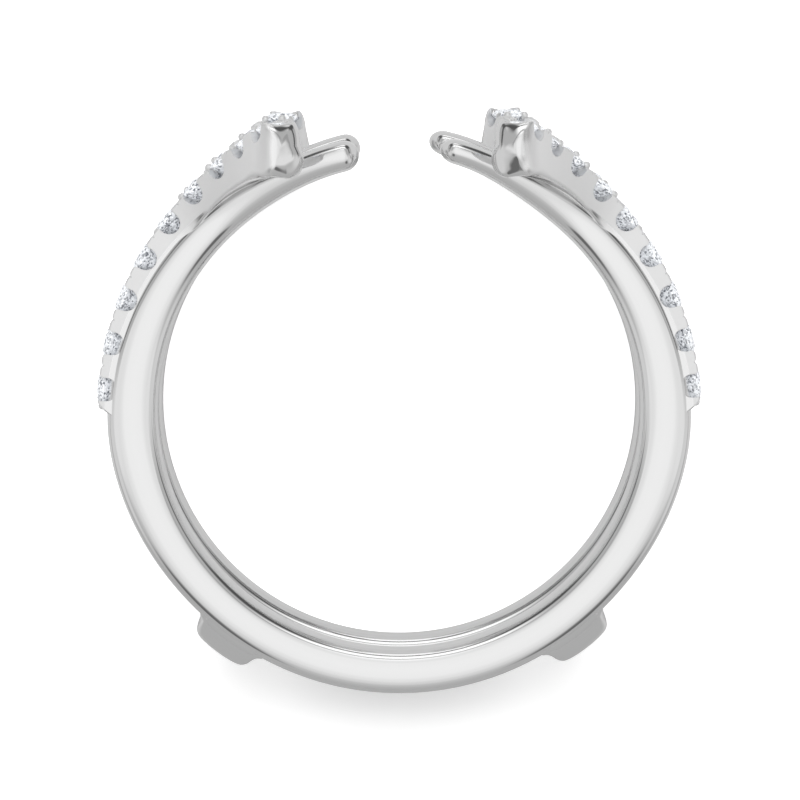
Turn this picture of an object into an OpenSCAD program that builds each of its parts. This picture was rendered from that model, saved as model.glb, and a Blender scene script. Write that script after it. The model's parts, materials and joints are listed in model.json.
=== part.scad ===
// Ring guard enhancer: two open bands held together by two bridges, with a strand of
// set stones on each shoulder of each band. All the metal is one casting.
// Lengths are in millimetres. The ring is drawn about its own axis Z, open towards +Y,
// with its front band at +Z, and is then tipped the way it leans when it lies down.
// An elevation is an angle on the ring: 0 at its side, -90 at its bottom, 90 at its top.

/* [Finger] */
// Inside diameter of both bands, US size 7
finger_d = 17.3; // [15.5:0.1:20]

/* [Bands] */
// Width of each band, along the finger
band_w = 1.95; // [1.7:0.05:2.4]
// Slot between the bands, for the shank of the ring that is guarded
slot_w = 1.55; // [1.2:0.05:2.2]
// Thickness of a band round the bottom
band_t_low = 1.57; // [1.4:0.01:1.9]
// Thickness of a band at the sides, where its strands start
band_t_side = 1.84; // [1.7:0.01:2.2]
// Thickness of the plain band beside the top of a strand
band_t_tip = 1.12; // [1:0.01:1.4]
// How far a band's faces bulge at their middle
band_dome = 0.1; // [0.02:0.01:0.16]
// Rounding of a band's outer edges
edge_r = 0.3; // [0.2:0.02:0.45]
// Rounding of a band's edges next to the finger
comfort_r = 0.12; // [0.06:0.02:0.2]

/* [Band tips] */
// Gap between the two plain tips of a band
tip_gap = 2.82; // [2.2:0.05:4]
// How far a tip stands away from its band's own line
tip_splay = 1; // [0:0.05:1.4]
// How far a left tip lifts off the finger
lift_left = 0.16; // [0:0.02:0.5]
// How far a right tip lifts off the finger
lift_right = 0.44; // [0:0.02:0.5]
// Thickness of a left tip
tip_t_left = 1.08; // [0.8:0.02:1.2]
// Thickness of a right tip
tip_t_right = 0.86; // [0.8:0.02:1.2]
// Elevation at which a band starts to turn away
splay_from = 42; // [30:1:55]
// Length over which a tip rounds off
tip_round = 0.55; // [0.3:0.05:0.8]
// How much further the rear right arm reaches in
extra_reach = 0.35; // [0:0.05:0.5]

/* [Strands] */
// Gap between the left and right strands' ends, where the head of the ring sits
head_gap = 6.7; // [5.5:0.1:8]
// Length of a strand that sweeps away from its band
sweep_len = 7.8; // [6:0.1:9]
// Angle through which it turns
sweep_turn = 68; // [40:1:72]
// Height of the first stone's girdle over the finger hole
girdle_h_low = 1.94; // [1.85:0.01:2.3]
// How much higher the strand's end is
girdle_rise = 0.6; // [0.2:0.05:1]
// Height of the metal over the girdles
rail_h = 0.2; // [0.12:0.01:0.24]
// Metal outside a stone's girdle, at each side of a strand
rail_w = 0.08; // [0.06:0.01:0.16]
// How much wider a strand's foot is than its top, at the strand's end
strand_foot = 0.3; // [0.1:0.05:0.35]
// Depth of a strand under its girdles along most of its length
strand_depth_low = 1; // [0.9:0.05:1.3]
// Depth of a strand under its girdles at its end
strand_depth_end = 1.95; // [1.5:0.05:2.2]
// Length over which a strand deepens towards its end
deep_len = 6; // [4:0.5:8]
// Metal past the last stone
end_wall = 0.35; // [0.3:0.05:0.6]
// Rounding of the edges of a strand's end
end_round = 0.2; // [0.1:0.02:0.4]
// Width of the big roundings at the inner corners of a strand's end
shoulder_w = 0.45; // [0.2:0.05:0.55]
// Height of those roundings
shoulder_h = 0.75; // [0.3:0.05:0.9]
// Length over which they fade
shoulder_len = 0.85; // [0.5:0.05:1.2]
// Length that a strand runs on below its first stone before it sinks into the band
lead_in = 0.8; // [0.75:0.05:1.3]

/* [Stones] */
// Stones in each strand
stones_per_strand = 9; // [8:1:10]
// Diameter of a strand's first stone
stone_d_low = 1.44; // [1.2:0.02:1.46]
// Diameter of its last stone
stone_d_end = 1.26; // [1:0.02:1.3]
// Metal between neighbouring stones
stone_space = 0.25; // [0.12:0.01:0.3]
// Clearance round a stone in its seat
stone_play = 0.02; // [0.01:0.005:0.04]

/* [Bridges] */
// Elevation of the left bridge
bridge_left_at = -53.4; // [-65:0.2:-40]
// Elevation of the right bridge
bridge_right_at = -52; // [-65:0.2:-40]
// Length of a bridge round the ring, at its foot
bridge_len = 2.9; // [2:0.1:4]
// Height of a bridge over the bands
bridge_h = 0.88; // [0.6:0.01:1.2]
// Clearance of a bridge over the shank in the slot
bridge_clear = 0.1; // [0.05:0.01:0.25]

/* [Hidden] */
finger_r = finger_d / 2;
band_z = (slot_w + band_w) / 2;
// Elevation below which a band keeps its bottom thickness, and that where it is thinnest
swell_from = -50;
thin_by = 60;
// A sweep runs this far into the finger hole, and the hole is cut last
into_hole = 0.25;
band_step = 6;
hole_sides = 180;
// Places of the sections that round off a tip and a strand's end, as shares of that length
TIP_STEPS = [0.4, 0.75, 0.97];
END_STEPS = [0, 0.25, 1];
// Places of the sections along the fading of the inner corners, as shares of its length
FADE_STEPS = [0.45, 0.7, 1];
// How far a strand's sides draw in at its end, as a share of how far its top does
end_side_share = 0.7;
// Share of a radius by which the middle of a rounded corner is cut back
corner_share = 1 - sqrt(0.5);

// Proportions of a brilliant, as shares of its diameter
table_share = 0.56;
crown_share = 0.15;
girdle_share = 0.03;
pavilion_share = 0.43;
culet_share = 0.04;
stone_sides = 8;
// The open window beside each stone, as shares of its diameter
window_w_share = 0.54;
window_deep_share = 0.34;
// The nick that parts the two prongs between neighbouring stones
nick_w = 0.16;
nick_deep = 0.16;
// Rounding of a prong's outer edge and of a strand's foot
prong_round = 0.08;
foot_round = 0.3;
// How a strand's lower end sinks into its band: [distance past its lead-in as a share of
// that, drop of its top as a share of the strand's depth]
SINK = [[-0.3, 0], [-0.12, 0.1], [0.02, 0.32], [0.47, 0.8]];

// A bridge's outline across its length, as [share of half its length, share of its height]
BRIDGE_OUTLINE = [
    [-1, -0.45], [-0.97, 0.05], [-0.8, 0.35], [-0.72, 0.8], [-0.5, 1],
    [0.5, 1], [0.72, 0.8], [0.8, 0.35], [0.97, 0.05], [1, -0.45]
];
// Its sections from the slot outward: [share of the way to its end, share of its height]
BRIDGE_SECTIONS = [[0.1, 1], [0.5, 0.85], [0.8, 0.5], [1, 0.05]];

// A place on a strand is its distance s from the strand's free end, along the line through
// the stones' girdles. The line is walked from the end down to the side.
first_s = stone_s(0);
strand_len = first_s + 1.5 * lead_in;
walk_step = 0.1;
end_x = head_gap / 2 + strand_w(0) / 2 * sin(sweep_turn);
end_z = band_z + sweep_len / (sweep_turn * PI / 180) * (1 - cos(sweep_turn));
walk = [for (
    s = 0, e = acos(end_x / girdle_r(0)), z = end_z;
    s < strand_len + 2 * walk_step;
    e = e - walk_step * cos(turn(s + walk_step / 2)) / girdle_r(s) * 180 / PI,
    z = z - walk_step * sin(turn(s + walk_step / 2)),
    s = s + walk_step
) [s, e, z]];
elevations = [for (w = walk) [w[0], w[1]]];
depths_out = [for (w = walk) [w[0], w[2]]];

// Lying down, the ring leans on its rear strands' ends and on the bottom of its rear band
knob_y = sqrt(pow(girdle_r(0), 2) - pow(end_x, 2)) - strand_depth_end + foot_round;
knob_z = end_z + strand_w(0) / 2 * cos(sweep_turn);
rest_tilt = atan((knob_z - band_z - band_w / 2) / (knob_y + finger_r + band_t_low / 2));

// Each strand: its name, 1 if it is on the left, 1 if it is at the rear, and its share of
// the rear right arm's extra reach
STRANDS = [
    ["front_left", 1, 0, 0],
    ["front_right", 0, 0, 0.4],
    ["rear_left", 1, 1, 0],
    ["rear_right", 0, 1, 1]
];
function stone_name(strand, k) = str("stone_", strand[0], k < 9 ? "_0" : "_", k + 1);

function unit(v) = v / norm(v);
function mix(a, b, t) = a + (b - a) * t;
function ease(t) = let (u = max(0, min(1, t))) u * u * (3 - 2 * u);

// A closed skin over a list of rings that all have the same number of points
module skin(rings) {
    n = len(rings[0]);
    last = len(rings) - 1;
    polyhedron(
        points = [for (ring = rings, p = ring) p],
        faces = concat(
            [[for (j = [0 : n - 1]) j]],
            [for (i = [0 : last - 1], j = [0 : n - 1])
                let (a = i * n + j, b = i * n + (j + 1) % n) [b, a, a + n]],
            [for (i = [0 : last - 1], j = [0 : n - 1])
                let (a = i * n + j, b = i * n + (j + 1) % n) [b, a + n, b + n]],
            [[for (j = [n - 1 : -1 : 0]) last * n + j]]
        )
    );
}

// Bands

function band_t(e) = e < 0
    ? mix(band_t_low, band_t_side, ease(1 - e / swell_from))
    : mix(band_t_side, band_t_tip, min(1, e / thin_by));

// How far a section is drawn in on its way to the rounded end at distance x
function rounding(x, length) = x >= length ? 1 : sqrt(1 - pow(1 - max(x, 0) / length, 2));

// Half of a band's section, as [height over the finger hole, distance from the middle]
function half_section(t) = let (
    side = band_w / 2,
    face = side - band_dome,
    inner_cut = corner_share * comfort_r,
    outer_cut = corner_share * edge_r
) [
    [-into_hole, face - 1.6 * comfort_r],
    [inner_cut, face - inner_cut],
    [comfort_r, face],
    [t / 2, side],
    [t - edge_r, face],
    [t - outer_cut, face - outer_cut],
    [t, face - edge_r]
];
function band_section(t) = let (half = half_section(t)) concat(
    half,
    [for (i = [len(half) - 1 : -1 : 0]) [half[i][0], -half[i][1]]]
);

// Place of a band's section at an angle from the bottom of the ring
function band_ring(angle, tip_angle, lift, tip_t) = let (
    e = abs(angle) - 90,
    away = ease((e - splay_from) / (tip_angle - 90 - splay_from)),
    t = band_t(e) + away * (tip_t - band_t_tip),
    left_over = (tip_angle - abs(angle)) * PI / 180 * (finger_r + t / 2),
    k = rounding(left_over, tip_round),
    middle = finger_r + t / 2 + lift * pow(away, 2)
) [for (p = band_section(t)) let (r = middle + k * (p[0] - t / 2))
    [r * sin(angle), -r * cos(angle), band_z + tip_splay * away + k * p[1]]];

function tip_angle(reach) =
    180 - asin((tip_gap / 2 - reach) / (finger_r + band_t_tip / 2));

// Angles of an arm's sections, from the bottom to its tip
function arm_angles(tip) = let (
    round_angle = tip_round / (finger_r + band_t_tip / 2) * 180 / PI,
    plain = tip - round_angle,
    steps = ceil(plain / band_step)
) concat(
    [for (i = [0 : steps]) plain * i / steps],
    [for (share = TIP_STEPS) plain + share * round_angle]
);

module band(right_reach) {
    left_tip = tip_angle(0);
    right_tip = tip_angle(right_reach);
    left = arm_angles(left_tip);
    right = arm_angles(right_tip);
    skin(concat(
        [for (i = [len(left) - 1 : -1 : 1]) band_ring(-left[i], left_tip, lift_left, tip_t_left)],
        [for (a = right) band_ring(a, right_tip, lift_right, tip_t_right)]
    ));
}

// Strands

function stone_d(k) = mix(stone_d_low, stone_d_end, k / (stones_per_strand - 1));
function stone_s(k) = k >= stones_per_strand - 1
    ? end_wall + stone_d_end / 2
    : stone_s(k + 1) + (stone_d(k) + stone_d(k + 1)) / 2 + stone_space;
function turn(s) = sweep_turn * max(0, 1 - s / sweep_len);
function girdle_r(s) = finger_r + girdle_h_low
    + girdle_rise * pow(max(0, 1 - s / first_s), 3);
function strand_w(s) =
    mix(stone_d_end, stone_d_low, min(1, s / first_s)) + 2 * (rail_w + stone_play);
function strand_depth(s) =
    mix(strand_depth_low, strand_depth_end, pow(max(0, 1 - s / deep_len), 2));

function line_point(s) = let (e = lookup(s, elevations), r = girdle_r(s))
    [r * cos(e), r * sin(e), lookup(s, depths_out)];
function along(s) = unit(line_point(max(0, s - walk_step)) - line_point(s + walk_step));
// The stones face straight out at the side and turn upright towards the end
function facing(s) = let (e = lookup(s, elevations))
    unit(mix([cos(e), sin(e), 0], [0, 1, 0], max(0, 1 - s / sweep_len)));
function across(s) = unit(cross(facing(s), along(s)));

// A strand's section, as [across, up], drawn in by inset and with its top lowered by drop.
// Its inner corners, across it to the left, are rounded off most at the strand's end.
function strand_section(s, inset, drop) = let (
    top_w = strand_w(s) / 2 - inset,
    low_w = top_w + strand_foot / 2 * max(0, 1 - s / sweep_len),
    top = rail_h - drop,
    low = inset / 2 - strand_depth(s),
    cut = corner_share * foot_round,
    at_end = 1 - ease(s / shoulder_len),
    heel_in = mix(foot_round, shoulder_w, at_end),
    heel_up = mix(foot_round, shoulder_h, at_end),
    top_in = mix(prong_round, shoulder_w, at_end),
    top_down = mix(prong_round, shoulder_h, at_end)
) [
    [top_w - prong_round, top],
    [top_w, top - prong_round],
    [low_w, low + foot_round],
    [low_w - cut, low + cut],
    [low_w - foot_round, low],
    [heel_in - low_w, low],
    [corner_share * heel_in - low_w, low + corner_share * heel_up],
    [-low_w, low + heel_up],
    [-top_w, top - top_down],
    [corner_share * top_in - top_w, top - corner_share * top_down],
    [top_in - top_w, top]
];
function strand_ring(s, inset, drop) =
    [for (q = strand_section(s, inset, drop)) line_point(s) + q[0] * across(s) + q[1] * facing(s)];

// Sections at the rounded end, at each stone, and down into the band
module strand_body() {
    skin(concat(
        [for (share = END_STEPS) let (in = end_round * (1 - rounding(share, 1)))
            strand_ring(share * end_round, end_side_share * in, in)],
        [for (share = FADE_STEPS) strand_ring(share * shoulder_len, 0, 0)],
        [for (k = [stones_per_strand - 2 : -1 : 0]) strand_ring(stone_s(k), 0, 0)],
        [for (step = SINK)
            strand_ring(first_s + (1 + step[0]) * lead_in, 0, step[1] * strand_depth_low)]
    ));
}

// Moves what is drawn with its top up and its length along X to a place on a strand
module on_line(s) {
    p = line_point(s);
    n = facing(s);
    y = across(s);
    x = cross(y, n);
    multmatrix([
        [x[0], y[0], n[0], p[0]],
        [x[1], y[1], n[1], p[1]],
        [x[2], y[2], n[2], p[2]],
        [0, 0, 0, 1]
    ]) children();
}

// A slot right through a strand, with this outline
module slot_through(outline) {
    rotate([90, 0, 0]) linear_extrude(2 * band_w, center = true) polygon(outline);
}

// The round-bottomed window that shows a stone from both sides
function window(d) = let (r = window_w_share * d / 2, low = -window_deep_share * d) concat(
    [for (a = [180 : 45 : 360]) [r * cos(a), low + r + r * sin(a)]],
    [[r, 2 * rail_h], [-r, 2 * rail_h]]
);

// The nick that parts the two prongs between neighbouring stones
nick = [
    [0, rail_h - nick_deep], [nick_w / 2, rail_h], [nick_w / 2, 2 * rail_h],
    [-nick_w / 2, 2 * rail_h], [-nick_w / 2, rail_h]
];

module strand() {
    difference() {
        strand_body();
        for (k = [0 : stones_per_strand - 1])
            on_line(stone_s(k)) slot_through(window(stone_d(k)));
        for (k = [1 : stones_per_strand - 1])
            on_line((stone_s(k - 1) + stone_s(k)) / 2) slot_through(nick);
    }
}

// Moves what is drawn for the front right arm to a strand's own arm
module on_arm(strand) {
    mirror([strand[1], 0, 0]) mirror([0, 0, strand[2]])
        rotate([0, 0, strand[3] * extra_reach / girdle_r(0) * 180 / PI]) children();
}

// Stones

function stone_ring(r, z, turned) =
    [for (i = [0 : stone_sides - 1]) let (a = (i + turned) * 360 / stone_sides)
        [r * cos(a), r * sin(a), z]];

module brilliant(d) {
    g = girdle_share * d / 2;
    skin([
        stone_ring(culet_share * d, -g - pavilion_share * d, 0.5),
        stone_ring(d / 2, -g, 0.5),
        stone_ring(d / 2, g, 0.5),
        stone_ring(table_share * d / 2, g + crown_share * d, 0)
    ]);
}

// The seat of a stone, open above it
module pocket(d) {
    r = d / 2 + stone_play;
    g = girdle_share * d / 2 + stone_play;
    skin([
        stone_ring(culet_share * d + stone_play, -g - pavilion_share * d, 0.5),
        stone_ring(r, -g, 0.5),
        stone_ring(r, d, 0.5)
    ]);
}

// Bridges

// A section of a bridge at z, as high as the share tops of its height, with its foot sunk
// into the band, or clear of the slot
function bridge_ring(at, z, tops, clear) = let (
    r = finger_r + band_t_low,
    half = bridge_len / 2 / r * 180 / PI
) [for (p = BRIDGE_OUTLINE) let (
    h = bridge_h * (p[1] > 0 ? tops * p[1] : p[1]),
    a = at + half * p[0],
    q = r + (clear ? max(h, bridge_clear) : h)
) [q * cos(a), q * sin(a), z]];

module bridge(at) {
    reach = band_w - edge_r;
    side = [for (q = BRIDGE_SECTIONS)
        bridge_ring(at, slot_w / 2 + reach * q[0], q[1], false)];
    other = [for (ring = side) [for (p = ring) [p[0], p[1], -p[2]]]];
    skin(concat(
        [for (i = [len(side) - 1 : -1 : 0]) other[i]],
        [for (z = [-slot_w / 2, slot_w / 2]) bridge_ring(at, z, 1, true)],
        side
    ));
}

module casting() {
    band(0);
    mirror([0, 0, 1]) band(extra_reach);
    for (strand = STRANDS) on_arm(strand) strand();
    bridge(bridge_right_at);
    mirror([1, 0, 0]) bridge(bridge_left_at);
}

// Tips the ring the way it leans when it lies down
module at_rest() {
    rotate([rest_tilt, 0, 0]) children();
}

// The seats reach into the bands under a strand's lower stones, so they are cut last too
module guard() {
    color("gainsboro") at_rest() difference() {
        casting();
        for (strand = STRANDS, k = [0 : stones_per_strand - 1])
            on_arm(strand) on_line(stone_s(k)) pocket(stone_d(k));
        cylinder(h = 4 * end_z, r = finger_r, center = true, $fn = hole_sides);
    }
}

module stone(strand, k) {
    color("white") at_rest() on_arm(strand) on_line(stone_s(k)) brilliant(stone_d(k));
}

guard();
for (strand = STRANDS, k = [0 : stones_per_strand - 1])
    stone(strand, k);
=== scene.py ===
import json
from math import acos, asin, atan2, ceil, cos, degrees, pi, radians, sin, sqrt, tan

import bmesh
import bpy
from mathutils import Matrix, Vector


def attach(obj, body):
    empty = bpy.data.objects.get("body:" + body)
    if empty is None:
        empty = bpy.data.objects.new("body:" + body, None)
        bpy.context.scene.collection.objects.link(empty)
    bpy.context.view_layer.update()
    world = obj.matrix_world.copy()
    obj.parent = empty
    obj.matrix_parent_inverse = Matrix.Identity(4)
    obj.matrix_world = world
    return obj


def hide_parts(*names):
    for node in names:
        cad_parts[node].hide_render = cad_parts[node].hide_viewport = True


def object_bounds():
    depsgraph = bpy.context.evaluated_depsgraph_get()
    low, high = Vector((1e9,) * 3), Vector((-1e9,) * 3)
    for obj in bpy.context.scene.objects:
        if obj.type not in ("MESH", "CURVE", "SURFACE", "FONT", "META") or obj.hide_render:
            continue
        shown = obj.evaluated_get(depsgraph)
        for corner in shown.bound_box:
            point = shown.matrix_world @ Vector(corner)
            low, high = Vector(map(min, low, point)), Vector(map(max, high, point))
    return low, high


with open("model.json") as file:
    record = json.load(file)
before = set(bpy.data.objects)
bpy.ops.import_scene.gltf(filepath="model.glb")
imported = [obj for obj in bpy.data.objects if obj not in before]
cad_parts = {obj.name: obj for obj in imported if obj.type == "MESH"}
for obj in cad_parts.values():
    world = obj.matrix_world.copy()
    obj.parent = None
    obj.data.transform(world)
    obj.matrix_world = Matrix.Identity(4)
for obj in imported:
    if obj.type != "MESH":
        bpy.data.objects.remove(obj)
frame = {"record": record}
cad_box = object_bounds()

# Ring guard enhancer: two open bands held together by two bridges, with a strand of set
# stones on each shoulder of each band. All the metal is one casting, and each stone is a
# piece of its own. Lengths are in millimetres, in the ring's own frame: the finger hole
# runs along Z, the ring is open towards +Y and its front band is at +Z. An elevation is an
# angle on the ring: 0 at its side, -90 at its bottom, 90 at its top.

# Finger hole, as the frame's record gives it, and the way the ring lies on the floor
HOLE = next(m for m in frame["record"]["mounts"] if m["name"] == "finger_hole")
FINGER_R = HOLE["dims"]["r_mm"]
LEAN = atan2(-HOLE["axis"][1], HOLE["axis"][2])
MM = 0.001
LYING = Matrix.Scale(MM, 4) @ Matrix.Rotation(LEAN, 4, "X")

# Bands
BAND_W = 1.95
SLOT_W = 1.55
BAND_T_LOW = 1.57
BAND_T_SIDE = 1.84
BAND_T_TIP = 1.12
# Elevations from which a band swells towards its side, and by which it has thinned again
SWELL_FROM = -50
THIN_BY = 60
EDGE_R = 0.3
# Slope of a band's domed face, in degrees, where it meets the rounding of an edge
FACE_SLOPE = 16
# Roundings of a band's edges next to the finger and outside: [width, depth]
COMFORT = (0.5, 0.5)
RIM = (0.35, 0.38)
# How much wider the outer rounding gets where the band is thicker
RIM_GAIN = 0.4
# What polishing takes off the outside, and what doming takes off a band's faces
POLISH = 0.016
FACE_IN = 0.04
BAND_Z = (SLOT_W + BAND_W) / 2
# Degrees between two of its sections
BAND_STEP = 1.5
# Degrees over which the thickness is evened out, so that no kink shows in the polish
EVEN_OVER = (-8, -4, 0, 4, 8)
# Points on the roundings of its edges, and on its domed face
EDGE_STEPS, FACE_STEPS = 10, 12

# Band tips: the gap between two of them, how far they splay along the finger and lift off it,
# how thick they are, the elevation from which all this grows, and their rounding
TIP_GAP = 2.82
TIP_SPLAY = 1
LIFT_LEFT = 0.16
LIFT_RIGHT = 0.44
TIP_T_LEFT = 1.08
TIP_T_RIGHT = 0.86
SPLAY_FROM = 42
TIP_ROUND = 0.55
# How far the rear right arm reaches beyond the front left one
EXTRA_REACH = 0.35
# Sections of a tip's rounding, and the share of its length at which the last one stands
TIP_RINGS = 9
TIP_LAST = 0.9995

# Strands: the gap between their free ends, and the length and angle of their sweep outward
HEAD_GAP = 6.7
SWEEP_LEN = 7.8
SWEEP_TURN = radians(68)
# Height of the stones' girdles over the finger hole, and how much they rise towards an end
GIRDLE_H_LOW = 1.94
GIRDLE_RISE = 0.6
# The metal beside the stones: how far it stands over their girdles, and how wide it is on
# each side. Then how much wider the foot of a strand's free end is.
RAIL_H = 0.2
RAIL_W = 0.08
STRAND_FOOT = 0.3
# How deep a strand goes below the girdles, low down and at its free end, and the length over
# which it gets deeper
STRAND_DEPTH_LOW = 1
STRAND_DEPTH_END = 1.95
DEEP_LEN = 6
# Metal between the last stone and the end
END_WALL = 0.35
# A strand's end is a dome: its length, how full it is, and the share of a section that its
# first one has. Its top and its outside are longer domes, so that they run softly into the end.
END_LEN, END_FULL = 0.5, 2.4
TOP_LEN, TOP_FULL = 0.8, 2.0
OUTSIDE_LEN, OUTSIDE_FULL = 0.95, 2.0
END_FIRST = 0.1
# How many sections the dome has, and how much closer they stand towards its tip
END_RINGS, END_CROWD = 24, 2.4
# Big roundings of its inner corners, at its top and at its heel, and where they fade
SHOULDER_W, SHOULDER_H = 0.48, 0.95
HEEL_W, HEEL_H = 0.74, 0.9
SHOULDER_LEN = 0.85
# Its outer top corner there, where that fades, and how far its heel dips
CREST_W, CREST_H, CREST_LEN = 0.6, 0.4, 0.6
HEEL_DIP = 0.16
# Roundings of its upper and lower corners
PRONG_ROUND = 0.08
FOOT_ROUND = 0.3
# Rounding of its outer foot past its end, and the length over which it gets that small
FOOT_EDGE, FOOT_LEN = 0.12, 1.6
# What a strand's lower end is measured in, beyond its first stone's middle
LEAD_IN = 0.8
# The lower end sinks into its band. As shares of the lead-in: how far short of the lead-in's
# end that starts, how long it goes on, and how much later the top goes down. Then how deep the
# top would get over that length, as a share of the strand's depth, and how its curve bends.
SINK_FROM = 0.58
SINK_LEN = 0.89
SINK_LATER = 0.16
SINK_DEPTH = 0.8
SINK_CURVE = 1.4
# Distance between two of its sections, and the points on their corners
STRAND_STEP = 0.1
TOP_STEPS, FOOT_STEPS, INNER_STEPS = 8, 6, 10
# Steps of the walk along the stones' line, and how far it goes on past a strand's lower end
WALK_STEP = 0.02
WALK_PAST = 0.3

# Stones, and what is cut for them
STONES = 9
STONE_D_LOW = 1.44
STONE_D_END = 1.26
STONE_SPACE = 0.25
STONE_PLAY = 0.02
TABLE_SHARE = 0.56
CROWN_SHARE = 0.15
GIRDLE_SHARE = 0.03
PAVILION_SHARE = 0.43
CULET_SHARE = 0.04
# How far out the lower ends of a pavilion's long facets are, as a share of the stone's radius
LONG_SHARE = 0.22
# Share of its nominal size that a stone is cut to
CUT_SHARE = 0.999
# The window beside a stone: its width and depth as shares of the stone's, and the points on
# its round bottom
WINDOW_W_SHARE = 0.58
WINDOW_DEEP_SHARE = 0.34
WINDOW_STEPS = 20
# The rounding of a prong's top: its drop, the share of the curve that is used, how far its
# cutter reaches past the prongs, and the steps across it
PRONG_DROP = 0.2
PRONG_CURVE = 0.95
PRONG_PAST = 0.04
PRONG_STEPS = 12
# How low the gap between two prongs across a strand is cut, and its width as a share of the
# smallest stone
WEB_LOW = 0.03
WEB_SHARE = 0.3
# The beads that the prongs end in: how far they keep from the window and from the rail's top,
# and how far outside the stone's edge their middles are, as a share of their radius
BEAD_R = 0.15
BEAD_IN = 0.04
BEAD_OUT = 0.35

# Bridges
BRIDGE_LEFT_AT = -53.4
BRIDGE_RIGHT_AT = -52
BRIDGE_LEN = 2.9
BRIDGE_H = 0.88
BRIDGE_CLEAR = 0.1
BRIDGE_REACH = BAND_W - EDGE_R
# Outline across its length, as [share of half its length, share of its height]
BRIDGE_OUTLINE = [
    (-1, -0.45), (-0.97, 0.05), (-0.8, 0.35), (-0.72, 0.8), (-0.5, 1),
    (0.5, 1), (0.72, 0.8), (0.8, 0.35), (0.97, 0.05), (1, -0.45),
]
# Sections from the slot outward: (share of the way to its end, share of its height, how far
# it is sunk)
BRIDGE_SECTIONS = [(0.1, 1, 0), (0.5, 0.85, 0), (0.8, 0.5, 0), (1, 0.12, 0), (1.12, 0, 0.3)]

# Sides of what is round: the space under the bridges, a stone's seat, a bead
SLOT_SIDES, SEAT_SIDES, BEAD_SIDES = 180, 32, 14
# Steps from a bead's bottom to its top
BEAD_RINGS = 8

# The arm of each strand: its name, whether it is on the left and at the rear, and its share of
# the rear right arm's extra reach
STRANDS = [
    ("front_left", True, False, 0),
    ("front_right", False, False, 0.4),
    ("rear_left", True, True, 0),
    ("rear_right", False, True, 1),
]


# Plain maths

def mix(a, b, t):
    return a + (b - a) * t


def ease(t):
    u = max(0, min(1, t))
    return u * u * (3 - 2 * u)


def rounding(x, length):
    """How far a section is drawn in on its way to the rounded end at distance x."""
    return 1 if x >= length else sqrt(1 - (1 - max(x, 0) / length) ** 2)


def arc(x, y, rx, ry, start, end, steps):
    """Points of an elliptical arc about (x, y), between two angles in degrees."""
    turns = [radians(mix(start, end, i / steps)) for i in range(steps + 1)]
    return [(x + rx * cos(a), y + ry * sin(a)) for a in turns]


def smooth(points, times=3):
    """An open line with its corners cut again and again, which leaves its ends in place."""
    for _ in range(times):
        inner = []
        for a, b in zip(points, points[1:]):
            inner += [tuple(mix(u, v, 0.25) for u, v in zip(a, b))]
            inner += [tuple(mix(u, v, 0.75) for u, v in zip(a, b))]
        points = [points[0], *inner[1:-1], points[-1]]
    return points


# Solids: a shape is a list of points and a list of faces, and a solid is a mesh of shapes

def skin(rings, place=Matrix.Identity(4)):
    """A closed shape over rings of equally many points."""
    n = len(rings[0])
    points = [place @ Vector(p) for ring in rings for p in ring]
    faces = [tuple(range(n)), tuple(range(len(points) - n, len(points)))]
    for i in range(len(rings) - 1):
        for j in range(n):
            a, b = i * n + j, i * n + (j + 1) % n
            faces.append((a, b, b + n, a + n))
    return points, faces


def bar(outline, length, place):
    """A bar across a strand with this outline, given as (along, up)."""
    return skin([[(x, y, z) for x, z in outline] for y in (-length / 2, length / 2)], place)


def placed(name, data):
    """A new object in the scene."""
    made = bpy.data.objects.new(name, data)
    bpy.context.scene.collection.objects.link(made)
    return made


def solid(name, shapes):
    """A piece made of closed shapes, with their faces turned outward."""
    points, faces = [], []
    for shape_points, shape_faces in shapes:
        faces += [tuple(i + len(points) for i in face) for face in shape_faces]
        points += shape_points
    mesh = bpy.data.meshes.new(name)
    mesh.from_pydata(points, [], faces)
    skin_mesh = bmesh.new()
    skin_mesh.from_mesh(mesh)
    bmesh.ops.recalc_face_normals(skin_mesh, faces=skin_mesh.faces)
    skin_mesh.to_mesh(mesh)
    skin_mesh.free()
    return placed(name, mesh)


def combine(body, operation, tool):
    """Joins the tool to the body, or cuts it out, and clears the tool away."""
    step = body.modifiers.new(operation, "BOOLEAN")
    step.operation = operation
    step.solver = "MANIFOLD"
    step.object = tool
    made = body.evaluated_get(bpy.context.evaluated_depsgraph_get())
    mesh = bpy.data.meshes.new_from_object(made)
    body.modifiers.clear()
    body.data = mesh
    bpy.data.objects.remove(tool)


# Bands

def plain_band_t(e):
    """A band's thickness at an elevation, before it is evened out and polished."""
    if e < 0:
        return mix(BAND_T_LOW, BAND_T_SIDE, ease(1 - e / SWELL_FROM))
    return mix(BAND_T_SIDE, BAND_T_TIP, min(1, e / THIN_BY))


def band_t(e):
    return sum(plain_band_t(e + step) for step in EVEN_OVER) / len(EVEN_OVER) - POLISH


def meets_face(width, depth):
    """Angle on an edge's elliptical rounding, from its foot, where it meets the domed face."""
    return atan2(depth, width * tan(radians(FACE_SLOPE)))


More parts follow.
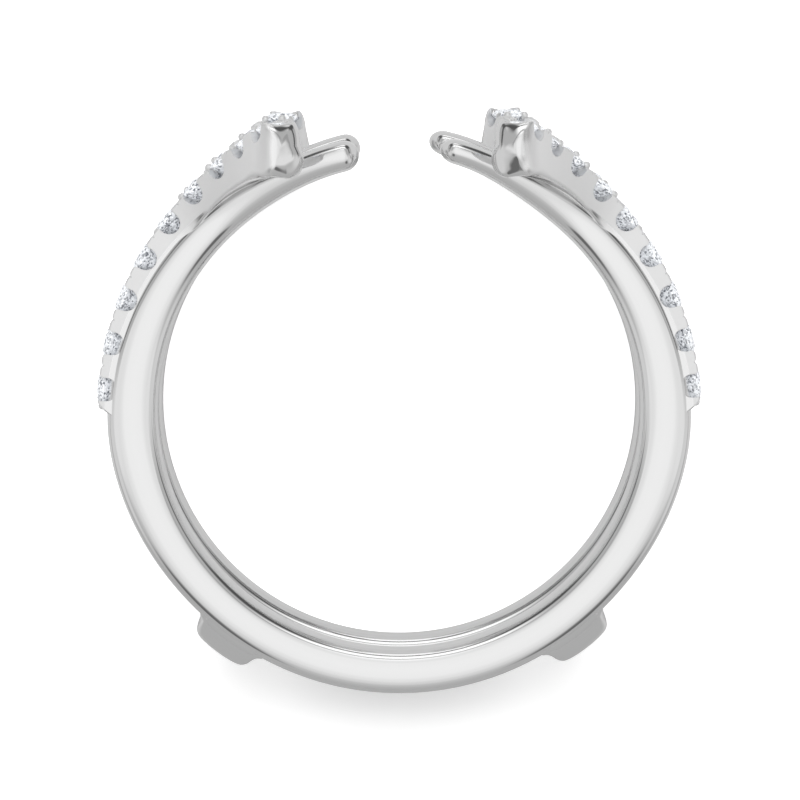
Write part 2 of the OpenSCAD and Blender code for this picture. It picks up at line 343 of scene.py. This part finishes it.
def half_section(t):
    """Half of a band's section, as (height over the finger hole, distance from its middle)."""
    slope = radians(FACE_SLOPE)
    (comfort_w, comfort_deep), (rim_w, rim_deep) = COMFORT, RIM
    rim_w += RIM_GAIN * max(0, t - BAND_T_LOW)
    comfort_end, rim_end = meets_face(comfort_w, comfort_deep), meets_face(rim_w, rim_deep)
    inner = comfort_w * (1 - cos(comfort_end))
    outer = t - rim_w * (1 - cos(rim_end))
    crown_r = (outer - inner) / 2 / sin(slope)
    top = BAND_W / 2 - FACE_IN
    face = top - crown_r * (1 - cos(slope))
    comfort_y, rim_y = face - comfort_deep * sin(comfort_end), face - rim_deep * sin(rim_end)
    comfort = arc(
        comfort_w, comfort_y, comfort_w, comfort_deep, 180, 180 - degrees(comfort_end), EDGE_STEPS
    )
    crown = arc(
        (inner + outer) / 2, top - crown_r, crown_r, crown_r,
        90 + FACE_SLOPE, 90 - FACE_SLOPE, FACE_STEPS,
    )
    rim = arc(t - rim_w, rim_y, rim_w, rim_deep, degrees(rim_end), 0, EDGE_STEPS)
    return comfort + crown[1:] + rim[1:]


def band_section(t):
    half = half_section(t)
    return half + [(h, -y) for h, y in reversed(half)]


def band_ring(angle, tip, lift, tip_t):
    """A band's section at an angle from the bottom of the ring, in degrees."""
    e = abs(angle) - 90
    away = ease((e - SPLAY_FROM) / (tip - 90 - SPLAY_FROM))
    t = band_t(e) + away * (tip_t - BAND_T_TIP)
    k = rounding(radians(tip - abs(angle)) * (FINGER_R + t / 2), TIP_ROUND)
    middle = FINGER_R + t / 2 + lift * away ** 2
    a = radians(angle)
    ring = []
    for height, y in band_section(t):
        r = middle + k * (height - t / 2)
        ring.append((r * sin(a), -r * cos(a), BAND_Z + TIP_SPLAY * away + k * y))
    return ring


def tip_angle(reach):
    """The angle from the bottom at which an arm ends that reaches this far beyond the plain one."""
    return 180 - degrees(asin((TIP_GAP / 2 - reach) / (FINGER_R + BAND_T_TIP / 2)))


def arm_angles(tip):
    """Angles of an arm's sections, from the bottom to its tip."""
    round_angle = degrees(TIP_ROUND / (FINGER_R + BAND_T_TIP / 2))
    plain = tip - round_angle
    steps = ceil(plain / BAND_STEP)
    shares = [sin(radians(90 * i / TIP_RINGS)) for i in range(1, TIP_RINGS)] + [TIP_LAST]
    return [plain * i / steps for i in range(steps + 1)] + [plain + s * round_angle for s in shares]


def band(name, right_reach, place):
    left_tip, right_tip = tip_angle(0), tip_angle(right_reach)
    left = [band_ring(-a, left_tip, LIFT_LEFT, TIP_T_LEFT) for a in arm_angles(left_tip)[:0:-1]]
    right = [band_ring(a, right_tip, LIFT_RIGHT, TIP_T_RIGHT) for a in arm_angles(right_tip)]
    return solid(name, [skin(left + right, place)])


# Strands: a place on one is its distance s from its free end, along the stones' girdles

def stone_d(k):
    return mix(STONE_D_LOW, STONE_D_END, k / (STONES - 1))


def stone_s(k):
    if k == STONES - 1:
        return END_WALL + STONE_D_END / 2
    return stone_s(k + 1) + (stone_d(k) + stone_d(k + 1)) / 2 + STONE_SPACE


FIRST_S = stone_s(0)
STRAND_LEN = FIRST_S + (1 - SINK_FROM + SINK_LEN) * LEAD_IN


def turn(s):
    """The angle by which a strand's line is turned outward, along the finger."""
    return SWEEP_TURN * max(0, 1 - s / SWEEP_LEN)


def girdle_r(s):
    return FINGER_R + GIRDLE_H_LOW + GIRDLE_RISE * max(0, 1 - s / FIRST_S) ** 3


def strand_w(s):
    return mix(STONE_D_END, STONE_D_LOW, min(1, s / FIRST_S)) + 2 * (RAIL_W + STONE_PLAY)


def strand_depth(s):
    return mix(STRAND_DEPTH_LOW, STRAND_DEPTH_END, max(0, 1 - s / DEEP_LEN) ** 2)


def walk_strand():
    """The elevation and the depth of the girdles' line at each step from its free end."""
    end_x = HEAD_GAP / 2 + strand_w(0) / 2 * sin(SWEEP_TURN)
    e = acos(end_x / girdle_r(0))
    z = BAND_Z + SWEEP_LEN / SWEEP_TURN * (1 - cos(SWEEP_TURN))
    line, s = [], 0
    while s < STRAND_LEN + WALK_PAST:
        line.append((e, z))
        heading = turn(s + WALK_STEP / 2)
        e -= WALK_STEP * cos(heading) / girdle_r(s)
        z -= WALK_STEP * sin(heading)
        s += WALK_STEP
    return line


WALK = walk_strand()


def line_at(s):
    i = min(int(s / WALK_STEP), len(WALK) - 2)
    share = s / WALK_STEP - i
    return [mix(a, b, share) for a, b in zip(WALK[i], WALK[i + 1])]


def line_point(s):
    e, z = line_at(s)
    return Vector((girdle_r(s) * cos(e), girdle_r(s) * sin(e), z))


def facing(s):
    """The way the stones face: straight out at the side, and upright towards the end."""
    e = line_at(s)[0]
    return Vector((cos(e), sin(e), 0)).lerp(Vector((0, 1, 0)), max(0, 1 - s / SWEEP_LEN)).normalized()


def on_line(s):
    """Carries what is drawn with its top up and its length along X to a place on a strand."""
    along = line_point(max(0, s - STRAND_STEP)) - line_point(s + STRAND_STEP)
    up = facing(s)
    across = up.cross(along).normalized()
    place = Matrix((across.cross(up), across, up)).transposed().to_4x4()
    place.translation = line_point(s)
    return place


def on_arm(arm):
    """Carries what is drawn for the front right arm to another one."""
    _, left, rear, share = arm
    mirrored = Matrix.Diagonal((-1 if left else 1, 1, -1 if rear else 1, 1))
    return mirrored @ Matrix.Rotation(share * EXTRA_REACH / girdle_r(0), 4, "Z")


def dome(s, length, full):
    """The share of its full size that a strand's section has at its domed end."""
    if s >= length:
        return 1
    return mix(END_FIRST, 1, (1 - (1 - s / length) ** full) ** (1 / full))


def strand_section(s, drop=0):
    """A strand's section, as (across, up), with its top lowered by drop."""
    half = strand_w(s) / 2 - POLISH
    flare = STRAND_FOOT / 2 * max(0, 1 - s / SWEEP_LEN)
    top, low = RAIL_H - POLISH - drop, POLISH - strand_depth(s)
    at_end = 1 - ease(s / SHOULDER_LEN)
    heel_in, heel_up = mix(FOOT_ROUND, HEEL_W, at_end), mix(FOOT_ROUND, HEEL_H, at_end)
    top_in, top_down = mix(PRONG_ROUND, SHOULDER_W, at_end), mix(PRONG_ROUND, SHOULDER_H, at_end)
    crest = 1 - ease(s / CREST_LEN)
    crest_in, crest_down = mix(PRONG_ROUND, CREST_W, crest), mix(PRONG_ROUND, CREST_H, crest)
    dip = HEEL_DIP * at_end
    foot = mix(FOOT_EDGE, FOOT_ROUND, 1 - ease((s - OUTSIDE_LEN) / FOOT_LEN))
    section = (
        arc(half - crest_in, top - crest_down, crest_in, crest_down, 90, 0, TOP_STEPS)
        + arc(half + flare - foot, low + foot, foot, foot, 0, -90, FOOT_STEPS)
        + arc(heel_in - half - flare, low - dip + heel_up, heel_in, heel_up, -90, -180, INNER_STEPS)
        + arc(top_in - half, top - top_down, top_in, top_down, -180, -270, INNER_STEPS)
    )
    middle, size = (top + low) / 2, dome(s, END_LEN, END_FULL)
    outside, upper = dome(s, OUTSIDE_LEN, OUTSIDE_FULL), dome(s, TOP_LEN, TOP_FULL)
    return [
        ((outside if y > 0 else size) * y, middle + (upper if z > middle else size) * (z - middle))
        for y, z in section
    ]


def strand_ring(s, drop=0):
    place = on_line(s)
    return [place @ Vector((0, y, z)) for y, z in strand_section(s, drop)]


def sink(s):
    """How far the top of a strand has sunk into its band at its lower end."""
    past = (s - FIRST_S - (1 - SINK_FROM + SINK_LATER) * LEAD_IN) / (SINK_LEN * LEAD_IN)
    return SINK_DEPTH * STRAND_DEPTH_LOW * max(0, past) ** SINK_CURVE


def strand_body(arm):
    steps = ceil((STRAND_LEN - END_LEN) / STRAND_STEP)
    places = [END_LEN * (i / END_RINGS) ** END_CROWD for i in range(END_RINGS)]
    places += [mix(END_LEN, STRAND_LEN, i / steps) for i in range(steps + 1)]
    rings = [strand_ring(s, sink(s)) for s in places]
    return solid(f"strand_{arm[0]}", [skin(rings, on_arm(arm))])


def window(d):
    """The outline of the round-bottomed window that shows a stone from both sides."""
    r, low = WINDOW_W_SHARE * d / 2, -WINDOW_DEEP_SHARE * d
    return arc(0, low + r, r, r, 180, 360, WINDOW_STEPS) + [(r, 2 * RAIL_H), (-r, 2 * RAIL_H)]


def prong_tops(width):
    """The outline of what is cut off above two prongs, which leaves their tops rounded."""
    outline = []
    for middle in (-width / 4, width / 4):
        for i in range(PRONG_STEPS + 1):
            u = mix(-1, 1, i / PRONG_STEPS)
            drop = PRONG_DROP * (1 - sqrt(1 - (PRONG_CURVE * u) ** 2))
            outline.append((middle + u * width / 4, RAIL_H - drop))
    low = outline[0][1]
    del outline[PRONG_STEPS + 1]
    side = width / 2 + PRONG_PAST
    return outline + [(side, low), (side, 2 * RAIL_H), (-side, 2 * RAIL_H), (-side, low)]


def post_s(k):
    """The middle of the post between a stone and the one before it."""
    return (stone_s(k - 1) + stone_s(k)) / 2


def strand(arm):
    """A strand with its windows, the rounded tops of its prongs and the gaps between them."""
    body = strand_body(arm)
    place = on_arm(arm)
    windows = [bar(window(stone_d(k)), 2 * BAND_W, place @ on_line(stone_s(k))) for k in range(STONES)]
    combine(body, "DIFFERENCE", solid("windows", windows))
    tops, webs = [], []
    for k in range(1, STONES):
        width = stone_s(k - 1) - stone_s(k) - WINDOW_W_SHARE * (stone_d(k - 1) + stone_d(k)) / 2
        post = place @ on_line(post_s(k))
        tops.append(bar(prong_tops(width), 2 * BAND_W, post))
        low, half = WEB_LOW, width / 2
        web = [(-half, low), (half, low), (half, 2 * RAIL_H), (-half, 2 * RAIL_H)]
        webs.append(bar(web, WEB_SHARE * STONE_D_END, post))
    combine(body, "DIFFERENCE", solid("prong_tops", tops))
    combine(body, "DIFFERENCE", solid("webs", webs))
    return body


# Stones and their seats

def circle(r, z, sides, turned=0):
    turns = [2 * pi * (i + turned) / sides for i in range(sides)]
    return [(r * cos(a), r * sin(a), z) for a in turns]


def pocket(d, place):
    """What is cut out for a stone."""
    r = d / 2 + STONE_PLAY
    g = GIRDLE_SHARE * d / 2 + STONE_PLAY
    culet = CULET_SHARE * d + STONE_PLAY
    levels = [(culet, -g - PAVILION_SHARE * d), (r, -g), (r, d)]
    return skin([circle(radius, z, SEAT_SIDES) for radius, z in levels], place)


def bead(x, y, z, r, place):
    """The ball that a prong ends in."""
    spot = place @ Vector((x, y, z))
    rings = []
    for i in range(1, BEAD_RINGS):
        a = pi * i / BEAD_RINGS
        around = circle(r * sin(a), -r * cos(a), BEAD_SIDES)
        rings.append([spot + (place.to_3x3() @ Vector(p)) for p in around])
    return skin(rings)


def strand_beads(arm):
    """The ends of the four prongs that hold each stone."""
    balls = []
    for k in range(STONES):
        d = stone_d(k)
        place = on_arm(arm) @ on_line(stone_s(k))
        x = WINDOW_W_SHARE * d / 2 + BEAD_R + BEAD_IN
        y = sqrt((d / 2) ** 2 - x ** 2) + BEAD_OUT * BEAD_R
        for side in (-1, 1):
            for end in (-1, 1):
                balls.append(bead(end * x, side * y, RAIL_H - BEAD_R - BEAD_IN, BEAD_R, place))
    return balls


def brilliant(name, d, place):
    """A round stone with a table, 8 stars, 8 kites, 32 half facets by its girdle and 8 long ones."""
    d *= CUT_SHARE
    r, table = d / 2, TABLE_SHARE * d / 2
    g, crown, pavilion = GIRDLE_SHARE * d / 2, CROWN_SHARE * d, PAVILION_SHARE * d
    kite, long = (r + table) / 2, LONG_SHARE * r
    eighth = cos(pi / 8)
    kite_z = g + (r - kite * eighth) * crown / (r - table)
    long_z = -g - (r - long * eighth) * pavilion / r
    rings = [
        circle(table, g + crown, 8), circle(kite, kite_z, 8, 0.5),
        circle(r, g, 16), circle(r, -g, 16), circle(long, long_z, 8, 0.5),
    ]
    points = [Vector(p) for ring in rings for p in ring] + [Vector((0, 0, -g - pavilion))]
    faces = [tuple(range(8))]
    # Where each ring starts among the points: the kites, the girdle's top and foot, the long
    # facets and the point below
    kites, rim, foot, longs, culet = 8, 16, 32, 48, 56
    for i in range(8):
        after = (i + 1) % 8
        before = (i - 1) % 8
        t, k, low = i, kites + i, longs + i
        at, half, full = 2 * i, 2 * i + 1, (2 * i + 2) % 16
        faces += [
            (t, k, after), (t, kites + before, rim + at, k),
            (k, rim + at, rim + half), (k, rim + half, rim + full),
            (rim + at, foot + at, foot + half, rim + half),
            (rim + half, foot + half, foot + full, rim + full),
            (low, foot + half, foot + at), (low, foot + full, foot + half),
            (foot + at, longs + before, culet, low),
        ]
    return solid(name, [([place @ p for p in points], faces)])


# Bridges

def bridge_ring(at, z, tops, sunk):
    """A bridge's section at z, as high as the share tops of its height, its foot sunk."""
    r = FINGER_R + BAND_T_LOW
    half = BRIDGE_LEN / 2 / r
    ring = []
    for share, height in smooth(BRIDGE_OUTLINE):
        q = r + BRIDGE_H * (tops * height if height > 0 else height) - sunk
        a = radians(at) + half * share
        ring.append((q * cos(a), q * sin(a), z))
    return ring


def bridge(name, at, place):
    side = [(SLOT_W / 2 + BRIDGE_REACH * share, tops, sunk) for share, tops, sunk in BRIDGE_SECTIONS]
    both = [(-z, tops, sunk) for z, tops, sunk in reversed(side)] + side
    return solid(name, [skin([bridge_ring(at, *section) for section in smooth(both)], place)])


# The casting

def casting():
    """All the metal: the bridges, cleared from under the slot, the bands and the strands."""
    front, rear = Matrix.Identity(4), Matrix.Diagonal((1, 1, -1, 1))
    metal = bridge("guard_casting", BRIDGE_RIGHT_AT, front)
    combine(metal, "UNION", bridge("left_bridge", BRIDGE_LEFT_AT, Matrix.Diagonal((-1, 1, 1, 1))))
    arch = FINGER_R + BAND_T_LOW + BRIDGE_CLEAR
    under = skin([circle(arch, z, SLOT_SIDES) for z in (-SLOT_W / 2, SLOT_W / 2)])
    combine(metal, "DIFFERENCE", solid("slot", [under]))
    combine(metal, "UNION", band("front_band", 0, front))
    combine(metal, "UNION", band("rear_band", EXTRA_REACH, rear))
    for arm in STRANDS:
        combine(metal, "UNION", strand(arm))
    combine(metal, "DIFFERENCE", solid("pockets", [
        pocket(stone_d(k), on_arm(arm) @ on_line(stone_s(k))) for arm in STRANDS for k in range(STONES)
    ]))
    combine(metal, "UNION", solid("beads", [ball for arm in STRANDS for ball in strand_beads(arm)]))
    return metal


# Finishes

class Recipe:
    """A node tree, and the one way that nodes are added to it."""

    def __init__(self, tree):
        self.tree = tree
        tree.nodes.clear()

    def node(self, kind, settings=None, values=None, output=0):
        made = self.tree.nodes.new(kind)
        for key, value in (settings or {}).items():
            setattr(made, key, value)
        for key, value in (values or {}).items():
            if isinstance(value, Wire):
                self.tree.links.new(value.socket, made.inputs[key])
            else:
                made.inputs[key].default_value = value
        return Wire(self, made.outputs[output] if made.outputs else None)

    def fade(self, value, start, end, before=0.0, after=1.0):
        """Eases from one number to another, while a value goes from start to end."""
        return self.node(
            "ShaderNodeMapRange", {"interpolation_type": "SMOOTHSTEP"},
            {0: value, 1: start, 2: end, 3: before, 4: after},
        )

    def dot(self, a, b):
        return self.node("ShaderNodeVectorMath", {"operation": "DOT_PRODUCT"}, {0: a, 1: b}, output="Value")

    def ramp(self, factor, stops):
        """Brightness that eases from stop to stop, each a (factor, brightness)."""
        made = self.node("ShaderNodeValToRGB", {}, {"Fac": factor})
        ramp = made.socket.node.color_ramp
        ramp.interpolation = "EASE"
        while len(ramp.elements) < len(stops):
            ramp.elements.new(0.5)
        for element, (at, level) in zip(ramp.elements, stops):
            element.position = at
            element.color = (level, level, level, 1)
        return made


class Wire:
    """A shader value; arithmetic on it adds Math nodes to its recipe."""

    def __init__(self, recipe, socket):
        self.recipe = recipe
        self.socket = socket

    def math(self, operation, *values):
        return self.recipe.node("ShaderNodeMath", {"operation": operation}, dict(enumerate(values)))

    def __add__(self, other):
        return self.math("ADD", self, other)

    __radd__ = __add__

    def __sub__(self, other):
        return self.math("SUBTRACT", self, other)

    def __rsub__(self, other):
        return self.math("SUBTRACT", other, self)

    def __mul__(self, other):
        return self.math("MULTIPLY", self, other)

    __rmul__ = __mul__


def finish(name):
    material = bpy.data.materials.new(name)
    material.use_nodes = True
    return material, Recipe(material.node_tree)


def ring_way(round_angle, down):
    """A direction, given round the ring from its right and down from its axis, in degrees."""
    a, b = radians(round_angle), radians(down)
    return Matrix.Rotation(LEAN, 3, "X") @ Vector((cos(a) * sin(b), sin(a) * sin(b), cos(b)))


# Scales of the noises behind the white gold's haze, the waves in its polish and the dents in
# the strands' ends, the heights of the waves and dents, and the rounding of every edge
HAZE_SCALE, WAVE_SCALE, DENT_SCALE = 900.0, 350.0, 1100.0
WAVE_H, END_DENT = 0.001, 0.2
SOFT_EDGE = 0.04
# How white and how rough the polish is, and what haze and satin add
POLISHED_WHITE, SATIN_WHITER = 0.8, 0.14
POLISHED_ROUGH, HAZE_ROUGHER, SATIN_ROUGHER = 0.04, 0.04, 0.5
# The strands' outer walls are satin. It sets in this far over their band's outer surface, or
# this far in front of its face, where a wall faces this squarely along the finger, and from
# this elevation on, in degrees.
SATIN_OVER, SATIN_OUT, SATIN_FACING, SATIN_FROM = (0.0, 0.06), (0.03, 0.2), (0.15, 0.35), (-6, -2)
# Their ends are polished from this far in front, up to this far aside.
END_OUT, END_ASIDE = (4.9, 5.4), (4.2, 4.85)


def white_gold():
    """Polished white metal, with satin strand walls and soft dents in the strands' ends."""
    material, recipe = finish("white_gold")
    spot = recipe.node("ShaderNodeTexCoord", output="Object")
    haze = recipe.node("ShaderNodeTexNoise", {}, {"Vector": spot, "Scale": HAZE_SCALE, "Detail": 4.0})
    softened = recipe.node("ShaderNodeBevel", {"samples": 6}, {"Radius": SOFT_EDGE * MM})
    wave = recipe.node("ShaderNodeTexNoise", {}, {"Vector": spot, "Scale": WAVE_SCALE, "Detail": 2.0})
    dent = recipe.node("ShaderNodeTexNoise", {}, {"Vector": spot, "Scale": DENT_SCALE, "Detail": 0.0})
    to_ring = {"Vector": spot, "Rotation": (-LEAN, 0, 0), "Scale": (1 / MM, 1 / MM, 1 / MM)}
    ring = recipe.node("ShaderNodeMapping", {}, to_ring)
    x, y, z = [recipe.node("ShaderNodeSeparateXYZ", {}, {"Vector": ring}, output=i) for i in range(3)]

    aside, front = x.math("ABSOLUTE", x), z.math("ABSOLUTE", z)
    elevation = y.math("ARCTAN2", y, aside)
    thinning = {0: elevation, 1: 0.0, 2: radians(THIN_BY), 3: BAND_T_SIDE, 4: BAND_T_TIP}
    thick = recipe.node("ShaderNodeMapRange", {}, thinning)
    away = recipe.fade(elevation, radians(SPLAY_FROM), radians(tip_angle(0) - 90))
    over = x.math("SQRT", x * x + y * y) - FINGER_R - thick - LIFT_RIGHT * away * away
    ahead = front - (BAND_Z + BAND_W / 2) - TIP_SPLAY * away
    faces = recipe.dot(recipe.node("ShaderNodeNewGeometry", output="Normal"), ring_way(0, 0))
    wall = over.math("MAXIMUM", recipe.fade(over, *SATIN_OVER), recipe.fade(ahead, *SATIN_OUT))
    wall = wall * recipe.fade(faces.math("ABSOLUTE", faces), *SATIN_FACING)
    wall = wall * recipe.fade(elevation, *[radians(angle) for angle in SATIN_FROM])
    polished_end = recipe.fade(front, *END_OUT) * (1 - recipe.fade(aside, *END_ASIDE))
    satin = wall * (1 - polished_end)
    height = WAVE_H * wave + END_DENT * polished_end * (dent - 0.5)
    relief = recipe.node(
        "ShaderNodeBump", {}, {"Strength": 1.0, "Distance": MM, "Height": height, "Normal": softened}
    )
    shade = recipe.node("ShaderNodeBsdfPrincipled", {}, {
        "Base Color": POLISHED_WHITE + SATIN_WHITER * satin,
        "Metallic": 1.0,
        "Roughness": POLISHED_ROUGH + HAZE_ROUGHER * haze + SATIN_ROUGHER * satin,
        "Normal": relief,
    })
    recipe.node("ShaderNodeOutputMaterial", {}, {"Surface": shade})
    return material


# Painted reflections in a stone's facets: the Scale of the cells that stand for the facets, how bright
# the painted flashes are from the darkest cells to the brightest, and their two colours, a painted dark
# reflection and a painted glint
PAINTED_FLASH_SCALE = 15000.0
PAINTED_FLASHES = [(0.0, 0.0), (0.2, 0.25), (0.36, 0.7), (1.0, 1.0)]
PAINTED_DARK_REFLECTION, PAINTED_GLINT = (0.07, 0.08, 0.1, 1), (0.9, 0.92, 0.95, 1)
# How rough a stone is, how much it bends light, how clear it is, and how strongly its painted reflections
# glow though it is no lamp
STONE_ROUGH, STONE_BEND, STONE_CLEAR, PAINTED_STONE_GLOW = 0.02, 2.417, 0.12, 0.25


def diamond():
    """Colourless cut stone, its facets coloured with painted dark reflections and painted glints that also
    glow a little.
    """
    material, recipe = finish("diamond")
    spot = recipe.node("ShaderNodeTexCoord", output="Object")
    facets = recipe.node("ShaderNodeTexVoronoi", {}, {"Vector": spot, "Scale": PAINTED_FLASH_SCALE}, output="Color")
    pick = recipe.node("ShaderNodeSeparateColor", {}, {"Color": facets}, output="Red")
    painted_flash = recipe.ramp(pick, PAINTED_FLASHES)
    # Painted reflection: each cell is coloured dark or bright as if a facet mirrored the studio, and the
    # same colour glows as the stone's emission
    painted_reflection = recipe.node(
        "ShaderNodeMix", {"data_type": "RGBA"}, {0: painted_flash, 6: PAINTED_DARK_REFLECTION, 7: PAINTED_GLINT}, output=2
    )
    shade = recipe.node("ShaderNodeBsdfPrincipled", {}, {
        "Base Color": painted_reflection,
        "Roughness": STONE_ROUGH,
        "IOR": STONE_BEND,
        "Transmission Weight": STONE_CLEAR,
        "Emission Color": painted_reflection,
        "Emission Strength": PAINTED_STONE_GLOW,
    })
    recipe.node("ShaderNodeOutputMaterial", {}, {"Surface": shade})
    return material


# The paper's whiteness as it is seen, and the painted shade that makes it darker as the metal mirrors it,
# beside the ring and more so below it
PAPER_WHITE = 0.9
MIRRORED_PAINTED_SHADE, MIRRORED_PAINTED_SHADE_BELOW = 0.64, 0.44
# Its glow in the picture, beside the ring and below it, where its shadow is to show
PAPER_GLOW, GLOW_BELOW = 0.6, 0.15
# The paper below the ring goes over into that beside it between these two places
BELOW_FROM, BELOW_TO = -11 * MM, -7 * MM
# The Scale of its grain, how rough it is, and what the grain adds
GRAIN_SCALE = 60.0
PAPER_ROUGH, GRAIN_ROUGHER = 0.9, 0.05


def paper():
    """The pale floor, lit a little from within so that shadows on it stay light, and with painted shade
    where the metal mirrors it, deepest below the ring.
    """
    material, recipe = finish("paper")
    spot = recipe.node("ShaderNodeTexCoord", output="Object")
    grain = recipe.node("ShaderNodeTexNoise", {}, {"Vector": spot, "Scale": GRAIN_SCALE, "Detail": 3.0})
    mirrored = recipe.node("ShaderNodeLightPath", output="Is Glossy Ray")
    down = recipe.node("ShaderNodeSeparateXYZ", {}, {"Vector": spot}, output="Y")

    # Painted shade: the metal mirrors the paper darker than it is seen, and darker still below the ring
    mirrored_shade = recipe.fade(down, BELOW_FROM, BELOW_TO, MIRRORED_PAINTED_SHADE_BELOW, MIRRORED_PAINTED_SHADE)
    glow = recipe.fade(down, BELOW_FROM, BELOW_TO, GLOW_BELOW, PAPER_GLOW)
    shade = recipe.node("ShaderNodeBsdfPrincipled", {}, {
        "Base Color": PAPER_WHITE + mirrored * (mirrored_shade - PAPER_WHITE),
        "Roughness": PAPER_ROUGH + GRAIN_ROUGHER * grain,
        "Specular IOR Level": 0.0,
        "Emission Color": (1 - mirrored) * glow,
        "Emission Strength": 1.0,
    })
    recipe.node("ShaderNodeOutputMaterial", {}, {"Surface": shade})
    return material


def wear(piece, material):
    """Gives a piece its finish and carries it into the frame."""
    piece.data.transform(LYING)
    piece.data.materials.clear()
    piece.data.materials.append(material)
    return piece


# The ring

# Angle in degrees over which two faces of the casting meet in a crease
CREASE = 32

gold, stone_finish = white_gold(), diamond()
guard = wear(casting(), gold)
guard.data.shade_smooth()
guard.data.set_sharp_from_angle(angle=radians(CREASE))
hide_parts("guard")
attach(guard, "root")
for arm in STRANDS:
    for k in range(STONES):
        node = f"stone_{arm[0]}_{k + 1:02d}"
        gem = brilliant(f"brilliant_{arm[0]}_{k + 1:02d}", stone_d(k), on_arm(arm) @ on_line(stone_s(k)))
        wear(gem, stone_finish)
        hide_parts(node)
        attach(gem, "root")


# The studio

# Half the width of the paper, in metres
FLOOR_HALF = 2.0


def floor():
    low = cad_box[0][2]
    corners = [(x * FLOOR_HALF, y * FLOOR_HALF, low) for x, y in ((-1, -1), (1, -1), (1, 1), (-1, 1))]
    mesh = bpy.data.meshes.new("floor")
    mesh.from_pydata(corners, [], [(0, 1, 2, 3)])
    mesh.materials.append(paper())
    piece = placed("floor", mesh)


# Brightness of the tent round the ring, at angles in degrees from where it is brightest,
# which lies this far from the ring's axis towards its open top
LIGHT_LEAN = 1
TENT = [(0, 1.06), (16, 1.04), (26, 0.93), (32, 0.8), (40, 0.6), (52, 0.52), (90, 0.48), (110, 0.4)]
# Soft patches in the tent: the way round the ring and down from its axis to their middle,
# their half angle and that where they have faded, and their brightness
PATCHES = [
    (195, 70, 12, 28, 0.75),
    (345, 70, 12, 28, 0.75),
    (90, 62, 20, 40, 1.35),
    (352, 38, 8, 18, 0.9),
    (186, 38, 8, 18, 0.9),
    (307, 49, 7, 15, 0.16),
    (233, 49, 7, 15, 0.16),
    (52, 80, 12, 26, 0.1),
    (128, 82, 8, 22, 0.12),
]
# Seams that run round the tent: how far down from the ring's axis, their half width and that
# where they have faded, and their brightness. They fade out between these two angles from the
# way in which the ring is open.
SEAMS = [(72, 2.5, 6, 0.1), (44, 1.5, 4.5, 0.4)]
SEAMS_END = (78, 100)


def studio():
    """A white tent, brightest above the ring, with soft bright and dark patches and two seams."""
    world = bpy.data.worlds.new("studio")
    bpy.context.scene.world = world
    world.use_nodes = True
    recipe = Recipe(world.node_tree)
    direction = recipe.node("ShaderNodeTexCoord", output="Generated")

    def away_from(way):
        toward = recipe.dot(direction, way)
        return toward.math("ARCCOSINE", toward) * (180 / pi)

    def within(angle, full, faded):
        return recipe.fade(angle, full, faded, 1.0, 0.0)

    level = recipe.ramp(
        away_from(ring_way(90, LIGHT_LEAN)) * (1 / 180), [(angle / 180, bright) for angle, bright in TENT]
    )
    for round_angle, down, full, faded, bright in PATCHES:
        level = level + within(away_from(ring_way(round_angle, down)), full, faded) * (bright - level)
    above = within(away_from(ring_way(90, 90)), *SEAMS_END)
    for down, full, faded, bright in SEAMS:
        beyond = away_from(ring_way(0, 0)) - down
        seam = above * within(beyond.math("ABSOLUTE", beyond), full, faded)
        level = level + seam * (bright - level)
    light = recipe.node("ShaderNodeBackground", {}, {"Color": level, "Strength": 1.0})
    recipe.node("ShaderNodeOutputWorld", {}, {"Surface": light})


# The softbox: its strength, how wide it looks and how far it leans towards the ring's open
# top, in degrees
SOFTBOX_STRENGTH = 1.3
SOFTBOX_WIDE, SOFTBOX_LEAN = 28, -9


def softbox():
    """A broad light for the shadow at the ring's bottom. The metal doesn't mirror it."""
    light = bpy.data.lights.new("softbox", "SUN")
    light.energy = SOFTBOX_STRENGTH
    light.angle = radians(SOFTBOX_WIDE)
    lamp = placed("softbox", light)
    lamp.rotation_euler = (radians(SOFTBOX_LEAN), 0, 0)
    lamp.visible_glossy = False


# The camera: how far above the ring's axis it stands, in degrees, and how far away
CAMERA_ABOVE, CAMERA_AWAY = 5.6, 172.0
# Its picture: the width and the shifts in pixels, and the scale
PICTURE_W, PX_PER_MM = 800, 27.6
SHIFT_X, SHIFT_Y = 0.8, 4.6
# The width of its sensor, and the nearest that it sees, in metres
SENSOR_W, NEAREST = 36, 0.01


def camera():
    """The photograph's view: from in front of the ring, a little above its axis."""
    lens = bpy.data.cameras.new("camera")
    eye = placed("camera", lens)
    above = radians(CAMERA_ABOVE)
    back = Vector((0, sin(above), cos(above)))
    right = Vector((1, 0, 0))
    view = Matrix((right, back.cross(right), back)).transposed().to_4x4()
    view.translation = back * CAMERA_AWAY
    turned = Matrix.Rotation(LEAN, 4, "X") @ view
    turned.translation *= MM
    eye.matrix_world = turned
    lens.sensor_width = SENSOR_W
    lens.lens = SENSOR_W * CAMERA_AWAY / (PICTURE_W / PX_PER_MM)
    lens.clip_start = NEAREST
    lens.shift_x = SHIFT_X / PICTURE_W
    lens.shift_y = SHIFT_Y / PICTURE_W
    bpy.context.scene.camera = eye


floor()
studio()
softbox()
camera()
bpy.context.scene.view_settings.view_transform = "Standard"
